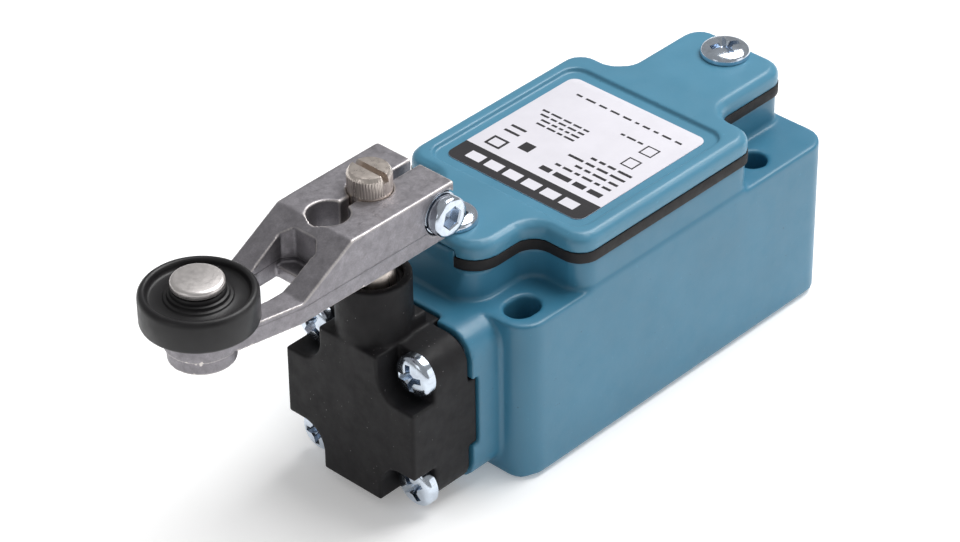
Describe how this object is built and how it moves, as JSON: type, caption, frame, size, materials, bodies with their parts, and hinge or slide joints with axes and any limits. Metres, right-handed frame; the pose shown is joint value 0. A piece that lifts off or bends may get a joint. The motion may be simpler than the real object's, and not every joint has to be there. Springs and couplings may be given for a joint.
{
  "type": "limit switch",
  "caption": "Side-rotary roller lever limit switch with a metal body, a turning head on its end, a bolted cover and a centre-neutral contact block inside.",
  "frame": {"origin": "centre of the 60 x 30 mm mounting hole pattern, on the plane of the mounting pads", "axes": "+X from the rotary head towards the conduit entry along the body, +Z out of the mounting face towards the cover, shaft axis parallel to Z"},
  "size_m": [0.1425, 0.0416, 0.0626],
  "materials": {
    "body_paint": "satin teal-blue enamel on die-cast zinc",
    "cover_paint": "satin teal-blue enamel on die-cast zinc",
    "black_metal": "satin black coating on die-cast zinc",
    "cast_lever": "matte die-cast, as tumbled",
    "shaft_steel": "stainless, ground, straight knurl above the lever",
    "pin_steel": "stainless, fine turned",
    "zinc": "bright zinc with a blue tint",
    "spring_steel": "drawn wire",
    "bronze": "sintered bronze",
    "black_rubber": "matte nitrile rubber",
    "black_nylon": "fine moulded black nylon",
    "label_white": "printed foil label, plain bars and symbols",
    "block_black": "moulded thermoset",
    "carrier_red": "moulded nylon",
    "brass": "plain strip",
    "silver": "silver-faced copper alloy"
  },
  "bodies": {
    "body": {"housing": "body_paint", "cover": "cover_paint", "cover_gasket": "black_rubber", "cover_screws": "zinc", "label": "label_white", "head_housing": "black_metal", "head_gasket": "black_rubber", "head_screws": "zinc", "shaft_bushing": "bronze", "shaft_seal": "black_rubber", "spring_post": "pin_steel", "centring_spring": "spring_steel", "plunger_guide": "bronze", "return_spring": "spring_steel", "switch_base": "block_black", "switch_cover": "block_black", "block_screws": "zinc", "cw_contacts": "brass", "ccw_contacts": "brass", "terminal_clamps": "zinc", "terminal_screws": "zinc", "earth_screw": "zinc"},
    "lever": {"shaft": "shaft_steel", "drive_pin": "pin_steel", "lever": "cast_lever", "clamp_screw": "zinc", "clamp_washer": "zinc", "roller_pin": "pin_steel", "roller_washer": "pin_steel"},
    "roller": {"roller": "black_nylon"},
    "plunger": {"plunger": "pin_steel", "contact_carrier": "carrier_red", "bridge_springs": "spring_steel"},
    "contact_bridge": {"contact_bridge": "silver"}
  },
  "joints": [
    {"name": "lever_swing", "type": "hinge", "parent": "body", "child": "lever", "pos_m": [-0.04985, 0, 0], "axis": [0, 0, 1], "range_deg": [-75, 75], "stiffness_Nm_per_rad": 0.15, "deforming": ["centring_spring"]},
    {"name": "roller_spin", "type": "hinge", "parent": "lever", "child": "roller", "pos_m": [-0.08795, 0, 0.055], "axis": [0, 0, 1], "continuous": true},
    {"name": "plunger_slide", "type": "slide", "parent": "body", "child": "plunger", "axis": [1, 0, 0], "range_m": [-0.0015, 0.0015], "deforming": ["return_spring"]},
    {"name": "bridge_slide", "type": "slide", "parent": "body", "child": "contact_bridge", "axis": [1, 0, 0], "range_m": [-0.001, 0.001], "deforming": ["bridge_springs"]}
  ],
  "couplings": [
    {"joint": "plunger_slide", "follows": "lever_swing", "m_per_rad": 0.0011459},
    {"joint": "bridge_slide", "follows": "lever_swing", "m_per_rad": 0.0007639}
  ]
}
